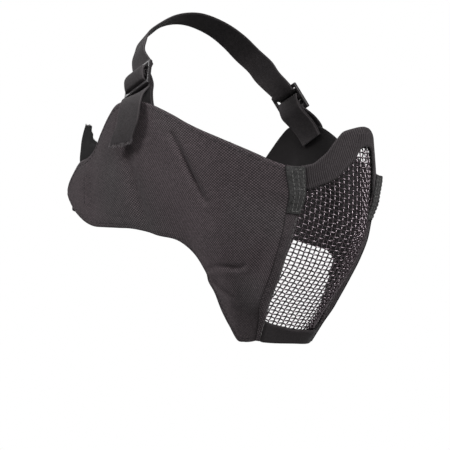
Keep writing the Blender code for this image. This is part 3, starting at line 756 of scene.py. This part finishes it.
def front_cloth(name, lower, upper, columns, rows, material, ribs=0.0, hem=0.0, bound=0.0):
    """A band on the front between two border lines. Ribs, hem and bound lower edge are given by height."""
    share = finer_ends(columns) * 2 - 1
    up = finer_ends(rows, (0.0, 0.012, 0.035, 0.075))
    share, up = np.broadcast_arrays(share[:, None], up[None, :])
    # Width and height depend on each other, so they are settled in a few rounds.
    z = 0 * share * up
    for _ in range(5):
        x = share * (level(z)[1] + BAND_PAST)
        z = outline(lower, x) * (1 - up) + outline(upper, x) * up
    dive = eased((np.abs(x) - (level(z)[1] - DIVE_START)) / DIVE_RUN)
    mid, normal = on_front(x, z, GAP + BAND / 2 - DIVE_DEPTH * dive)
    edges = edge_distance(mid)
    left, _, low, high = edges
    near = np.minimum.reduce(edges)
    inside = rounded(near, BAND_EDGE, 0)
    half = BAND / 2 * rounded(near, BAND_EDGE)
    out = half + hem * inside * (bulge(high, *TOP_HEM) + 0.6 * bulge(low, *LOW_HEM))
    u = left - left[len(left) // 2]
    ribbed = rounded(np.maximum(near - RIB_START, 0), RIB_RISE, 0)
    out = out + ribs * (np.cos(2 * math.pi * u / BAND_RIB) - 1) * ribbed
    inner = half + bound * inside * np.exp(-((low / BOUND) ** 4))
    return soft_shell(name, mid, normal, out, inner, np.stack([u, z], -1), material)


def on_strip(side, z, share, off):
    """Points on the strip beside the wire, at a distance outward, and the normals there."""
    _, edge, _, ridge, _ = level(z)
    return on_front(side * (edge + (ridge - edge) * share + 0.0003), z, off)


def tape(name, side, span, base, wall, count, material, fold=0.0, sink=0.0):
    """A tape on the strip beside the wire. Its side at the wing runs down in a fold, or sinks."""
    (top, bottom), (first, last) = span
    z = (bottom + (top - bottom) * finer_ends(count, (0.0, 0.002, 0.006, 0.012)))[:, None] * CHIN_DROP
    share = (first + (last - first) * finer_ends(18, (0.0, 0.018, 0.05, 0.10)))[None, :]
    z, share = np.broadcast_arrays(z, share)
    mid, normal = on_strip(side, z, share, base + wall / 2)
    edges = edge_distance(mid)
    wire_side, wing_side = edges[2:]
    mid = mid - (sink * eased(1 - wing_side / PATCH_SINK))[..., None] * normal
    half = wall / 2 * rounded(np.minimum.reduce(edges), TAPE_EDGE)
    out = half
    if fold:
        slope = eased(wing_side / TAPE_DROP)
        out = (wall + 0.0001) * (slope - 0.5) + fold * bulge(wing_side, FOLD_AT, FOLD_HALF)
        out = np.where(np.minimum.reduce(edges[:3]) < 0.0010, np.minimum(out, half), out)
    return soft_shell(name, mid, normal, out, half, np.stack([wire_side * side, z], -1), material)


def strip_cloth(side, word):
    """Edge tape and corner patch of one side."""
    strip = tape("edge_tape_" + word, side, TAPE_SPAN, GAP, STRIP, 120, TAPE, fold=0.00030)
    place(strip, "tape", "edge_strip_" + word)
    patch = tape("corner_patch_" + word, side, PATCH_SPAN, PATCH_BASE, TAB, 40, TAB_CLOTH, sink=0.0016)
    place(patch, "tape", "corner_tab_" + word)


def strip_seams(side, word):
    """Seams of the corner patch and the tape."""
    down = np.linspace(PATCH_UP[0], PATCH_UP[-1], 60) * CHIN_DROP
    across = np.linspace(PATCH_ACROSS[0], PATCH_ACROSS[-1], 20)
    seams = [(down, share) for share in PATCH_ACROSS] + [(up * CHIN_DROP, across) for up in PATCH_UP]
    tracks = [(*on_strip(side, z, share, PATCH_BASE + TAB), PATCH_STITCH) for z, share in seams]
    down = np.linspace(*TAPE_UP, 120) * CHIN_DROP
    tracks.append((*on_strip(side, down, TAPE_ACROSS, GAP + STRIP), TAPE_STITCH))
    place(sewn("patch_thread_" + word, tracks, PATCH_THREAD_R, GREY_THREAD), "tape")


# Wings

def wing_dent(points, normal):
    """How far the creases push in each point, less the ridges beside them."""
    total = np.zeros(points.shape[:-1])
    for track, depth, half, ridge in CREASES:
        rows = rows_at(np.array(track), np.linspace(0, len(track) - 1, 24))
        line = wing_surface(rows[:, 0], rows[:, 1])
        away = np.full(points.shape[:-1], 9.0)
        side = np.zeros_like(away)
        along = np.zeros_like(away)
        for k in range(len(line) - 1):
            leg = line[k + 1] - line[k]
            t = np.clip(((points - line[k]) @ leg) / (leg @ leg), 0, 1)
            off = points - (line[k] + t[..., None] * leg)
            far = np.linalg.norm(off, axis=-1)
            near = far < away
            away = np.where(near, far, away)
            side = np.where(near, np.sign((np.cross(normal, leg) * off).sum(-1)), side)
            along = np.where(near, (k + t) / (len(line) - 1), along)
        fade = np.sqrt(np.clip(np.sin(math.pi * (0.06 + 0.88 * along)), 0, 1))
        signed = away * side
        dent = depth * bulge(away, 0, half) - ridge * bulge(signed, 2.2 * half, 1.5 * half)
        total += dent * fade
    return total


def crumple(points, seed):
    """Slow unevenness of the cloth."""
    uneven = [
        0.62 * noise.noise(p * 22 + (seed, 0, 0)) + 0.38 * noise.noise(p * 55 + (0, seed, 0))
        for p in points.reshape(-1, 3)
    ]
    return np.array(uneven).reshape(points.shape[:-1])


def wing(side, word):
    """The cloth of one wing. Returns its outer skin and the normals."""
    along = finer_ends(170, (0.0, 0.0010, 0.0028, 0.0060))[:, None]
    down = finer_ends(100, (0.0, 0.0028, 0.0075, 0.0150))[None, :]
    points = wing_surface(*np.broadcast_arrays(along, down))
    normal = unit(np.cross(np.gradient(points, axis=1), np.gradient(points, axis=0)))
    points, normal = tucked_front(points, normal)
    near = np.minimum.reduce(edge_distance(points))
    seed = 3.0 if side < 0 else 17.0
    shift = CRUMPLE * crumple(points, seed) * np.clip(near / CALM, 0, 1) - wing_dent(points, normal)
    mid = points + (shift - CLOTH / 2)[..., None] * normal
    half = CLOTH / 2 * rounded(near, WING_EDGE)
    run = np.linalg.norm(np.diff(points[:, :, :2], axis=0), axis=-1).mean(1)
    u = np.concatenate([[0], np.cumsum(run)])[:, None] + 0 * points[..., 2]
    uv = np.stack([u, points[..., 2]], -1)
    flip = np.array([side, 1, 1])
    piece = soft_shell("wing_cloth_" + word, mid * flip, normal * flip, half, half, uv, WING_CLOTH)
    place(piece, "wing_cloth", "side_panel_" + word)
    return (points + shift[..., None] * normal) * flip, normal * flip


def tucked_front(points, normal):
    """The grid with a margin before its front border that lies under the edge tape."""
    z = points[0, :, 2]
    _, edge, _, ridge, _ = level(z)
    margin = np.array([on_front(edge + (ridge - edge) * share, z, -depth) for share, depth in WING_TUCK])
    return np.vstack([margin[:, 0], points]), np.vstack([margin[:, 1], normal])


def on_grid(points, normal, y, z):
    """Points on a grid's surface at each y and z, from the four nearest, and their normals."""
    points, normal = points.reshape(-1, 3), normal.reshape(-1, 3)
    line, normals = [], []
    for at_y, at_z in zip(y, z):
        away = np.hypot(points[:, 1] - at_y, points[:, 2] - at_z)
        near = np.argsort(away)[:4]
        weight = 1 / (1e-6 + away[near])
        weight = (weight / weight.sum())[:, None]
        n = unit((normal[near] * weight).sum(0))
        p = (points[near] * weight).sum(0)
        step = np.array([0, at_y - p[1], at_z - p[2]])
        line.append(p + step - n * (step @ n))
        normals.append(n)
    return np.array(line), np.array(normals)


def hem_line(points, normal):
    """A line at HEM_INSET from the first column of a grid, and its normals."""
    far = edge_distance(points)[2]
    rows = [row for row in zip(far, points, normal) if row[0][-1] >= 3 * HEM_INSET]
    line, normals = ([rows_between(row[0], row[k], HEM_INSET) for row in rows] for k in (1, 2))
    return np.array(line), unit(normals)


def wing_seams(word, skin, normal):
    """Hem seams of a wing, and the seams that hold the straps inside it."""
    tracks = [(*hem_line(skin[:, ::way], normal[:, ::way]), HEM_STITCH) for way in (1, -1)]
    for y0, y1, z0, z1, count_y, count_z in STRAP_BOXES:
        box = [(np.linspace(y0, y1, count_y), np.full(count_y, z)) for z in (z1, z0)]
        box += [(np.full(count_z, y), np.linspace(z0, z1, count_z)) for y in (y0, y1)]
        tracks += [(*on_grid(skin, normal, y, z), BOX_STITCH) for y, z in box]
    place(sewn("wing_thread_" + word, tracks, WING_THREAD_R, DARK_THREAD), "wing_cloth")


# Webbing

def cut_line(share, profile, ragged, seed):
    """How far a cut lies back from the end at shares -1 to 1 across, with ragged yarns."""
    rng = np.random.default_rng(seed)
    coarse, fine = (np.interp(share, np.linspace(-1, 1, n), rng.uniform(0, 1, n)) for n in (8, 27))
    return np.interp(share, *np.array(profile).T) + ragged * (0.6 * coarse + 0.4 * fine)


def ribbon(
    name, path, across, material, steps, columns, width=WEB_W, wall=WEB_T, cuts=(None, None), dip=None
):
    """A webbing along a path. Dip moves its selvedges, and each end can have a ragged cut.

    Returns its mesh, its middle surface with the directions across and outward, and its length.
    """
    last = len(path) - 1
    at = np.linspace(0, last, last * steps + 1)[1:-1]
    at = np.concatenate([[0, 0.02, 0.06], at, [last - 0.06, last - 0.02, last]])
    dip = rows_at(0 * path if dip is None else dip, at)
    path, across = rows_at(path, at), unit(rows_at(across, at))
    tangent = unit(np.gradient(path, axis=0))
    normal = unit(np.cross(tangent, across))
    w = (finer_ends(columns, (0.0, 0.010, 0.028, 0.055)) - 0.5) * width
    share = 2 * w / width
    mid = path[:, None] + w[None, :, None] * across[:, None]
    mid = mid + np.abs(share)[None, :, None] ** 5 * dip[:, None]
    far = distance_along(path)
    for cut, from_end, sign in ((cuts[0], far, 1), (cuts[1], far[-1] - far, -1)):
        if cut:
            back = cut_line(share, *cut)[None, :] * np.clip(1 - from_end / CUT_REACH, 0, 1)[:, None]
            mid = mid + sign * back[..., None] * tangent[:, None]
    normals = np.broadcast_to(normal[:, None], mid.shape)
    _, _, left, right = edge_distance(mid)
    half = wall / 2 * rounded(np.minimum(left, right), WEB_EDGE, 0.3)
    uv = np.stack(np.broadcast_arrays(w[None, :], far[:, None]), -1)
    return soft_shell(name, mid, normals, half, half, uv, material), (mid, across, normal), far[-1]


def fray(name, surface, end, material, count, seed, reach):
    """Loose yarns along the first (0) or the last (-1) cut of a webbing."""
    mid, across, normal = surface
    inner, middle = {0: 5, -1: -6}[end], 20
    tangent = unit(mid[end, middle] - mid[inner, middle])
    rng = np.random.default_rng(seed)
    t = np.linspace(-0.35, 1, len(YARN_R))[:, None]
    lines = []
    for _ in range(count):
        where = rng.random() * (mid.shape[1] - 1)
        root = rows_at(mid[end], where) + (rng.random() - 0.5) * WEB_T * 0.8 * normal[end]
        length = reach * (0.3 + 0.7 * rng.random())
        bend = rng.normal(0, 0.32) * across[end] + rng.normal(0, 0.26) * normal[end]
        lines.append(root + t * length * tangent + np.maximum(t, 0) ** 2 * length * bend)
    normals = [np.tile(normal[end], (len(YARN_R), 1))] * count
    return tubes(name, lines, normals, YARN_R, 5, material)


def strap_tab(side, word):
    """Webbing doubled round the middle bar of the slider."""
    flip = np.array([side, 1, 1])
    rows = np.array(TAB_LOOP)
    path = in_slider(rows[:, :3]) * flip
    across = (ALONG + rows[:, 3:] * np.array([1, 0, 0])) * flip
    tab, *_ = ribbon("tab_webbing_" + word, path, across, WEBBING, 5, 11, width=TAB_W, wall=TAB)
    place(tab, "webbing", "strap_tab_" + word)


def nape_end(side, word):
    """Upturned end of the nape strap."""
    flip = np.array([side, 1, 1])
    across = np.array([NAPE_ACROSS] * (len(NAPE_TAIL) - 2) + list(NAPE_TURN)) * flip
    path = NAPE_TAIL * PLACE * flip
    end, surface, _ = ribbon(
        "nape_end_webbing_" + word, path, across, SHADED_NAPE_WEBBING, 8, 44, cuts=(None, NAPE_CUT)
    )
    place(end, "webbing", "nape_tail_" + word)
    yarns = fray("nape_end_fray_" + word, surface, -1, SHADED_NAPE_WEBBING, 60, 5 + side, reach=0.0012)
    place(yarns, "webbing")


def both_sides(half):
    """Rows from the right end over the middle to the left end, from those of the left half."""
    return np.vstack([half * np.array([-1, 1, 1]), half[-2::-1]])


def head_strap():
    """One webbing from tail to tail, through both sliders and over the crown."""
    tail, over, thread = np.array(TAIL), np.array(OVER_HEAD), np.array(THREAD)
    path = np.vstack([tail[:, :3] * PLACE, in_slider(thread), over[:, :3] * PLACE])
    across = np.vstack([tail[:, 3:], np.tile(ALONG, (len(thread), 1)), over[:, 3:]])
    loop = np.clip(thread[:, 1:2] / thread[:, 1].max(), 0, 1) * FACE * -LOOP_DIP
    dip = np.vstack([np.zeros((len(tail), 3)), loop, np.zeros((len(over), 3))])
    strap, surface, length = ribbon(
        "head_webbing", both_sides(path), both_sides(across), WEBBING, 5, 40,
        cuts=(TAIL_CUT, TAIL_CUT), dip=both_sides(dip),
    )
    place(strap, "webbing", "head_strap")
    for end, seed, word in ((0, 11, "right"), (-1, 10, "left")):
        place(fray("tail_fray_" + word, surface, end, PALE_YARN, 90, seed, reach=0.0042), "webbing")


def nape_strap():
    """Webbing from lobe to lobe behind the nape."""
    path = both_sides(NAPE * PLACE)
    across = np.tile((0.0, 0.0, 1.0), (len(path), 1))
    strap, _, length = ribbon("nape_webbing", path, across, SHADED_NAPE_WEBBING, 6, 13)
    place(strap, "webbing", "nape_strap")


# Everything

wire_front()
nose = front_cloth(
    "nose_band_cloth", WIRE_TOP, BAND_TOP, 520, 20, BAND_CLOTH, ribs=0.00014, hem=0.00018, bound=0.0008
)
place(nose, "band_cloth", "nose_band")
chin = front_cloth("chin_band_cloth", CHIN_LOW, WIRE_LOW, 90, 14, CHIN_CLOTH, hem=0.00015)
place(chin, "band_cloth", "chin_band")

for side, word in ((-1, "right"), (1, "left")):
    strip_cloth(side, word)
    skin, skin_normal = wing(side, word)
    strip_seams(side, word)
    wing_seams(word, skin, skin_normal)
    strap_tab(side, word)
    nape_end(side, word)

head_strap()
nape_strap()

for node in ("slider_right", "slider_left"):
    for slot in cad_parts[node].material_slots:
        slot.material = PLASTIC

# Stage, light and camera

# The photo's camera, to the wearer's right of straight ahead, with a small pan and tilt
AZIMUTH, PAN, PITCH_UP = math.radians(44), math.radians(-0.6), math.radians(4.4)
AWAY, EYE = 1.15, -0.100  # distance from the head's axis, height
FOCAL, PHOTO_SIDE = 1643, 450  # pixels
SENSOR = 36  # millimetres
FLOOR_HALF, FLOOR_UP = 9, -1.3
BACKDROP = ((24, 1.0), (38, 0.10))  # degrees from the camera's line of sight, brightness
LIGHTS = (  # name, place, width, watts
    ("key", (-1.14, 0.60, 1.08), 0.42, 22),
    ("front", (-0.42, -1.42, 0.92), 1.20, 30),
    ("rim", (-0.30, 1.25, 0.72), 0.30, 1.3),
)

AHEAD = Vector((math.sin(AZIMUTH), math.cos(AZIMUTH), 0))
ASIDE = Vector((math.cos(AZIMUTH), -math.sin(AZIMUTH), 0))
LOOK = AHEAD * math.cos(PAN) + ASIDE * math.sin(PAN)
LOOK = LOOK * math.cos(PITCH_UP) + Vector((0, 0, 1)) * math.sin(PITCH_UP)

square = np.array([(-1, -1), (1, -1), (1, 1), (-1, 1)])
corners = np.column_stack([square * FLOOR_HALF, [FLOOR_UP] * 4])
floor = mesh_piece("floor", corners, [(0, 1, 2, 3)], square, floor_material())


def studio_world():
    """A white backdrop as the camera sees it, and dimmer surroundings."""
    net = Net(bpy.data.worlds.new("studio"))
    at = net.node("ShaderNodeTexCoord").outputs["Generated"]
    toward = net.node("ShaderNodeVectorMath", {0: at, 1: LOOK}, operation="DOT_PRODUCT")
    ramp = net.node("ShaderNodeValToRGB", {0: toward.outputs["Value"]})
    for stop, (angle, value) in zip(ramp.color_ramp.elements, BACKDROP[::-1]):
        stop.position = math.cos(math.radians(angle))
        stop.color = (value, value, value, 1)
    net.put(ramp.outputs[0], net.tree.nodes["Background"].inputs["Color"])
    bpy.context.scene.world = net.owner


def area_light(name, at, size, power):
    """A round light that looks at the origin."""
    data = bpy.data.lights.new(name, "AREA")
    data.shape = "DISK"
    data.size = size
    data.energy = power
    light = scene_object(name, data)
    light.location = at
    light.rotation_euler = (-Vector(at)).to_track_quat("-Z", "Y").to_euler()


studio_world()
bpy.context.scene.view_settings.view_transform = "Standard"
for light in LIGHTS:
    area_light(*light)

lens = bpy.data.cameras.new("camera")
lens.sensor_width = SENSOR
lens.lens = FOCAL / PHOTO_SIDE * SENSOR
camera = scene_object("camera", lens)
camera.location = (-AHEAD.x * AWAY, -AHEAD.y * AWAY, EYE)
camera.rotation_euler = LOOK.to_track_quat("-Z", "Y").to_euler()
bpy.context.scene.camera = camera
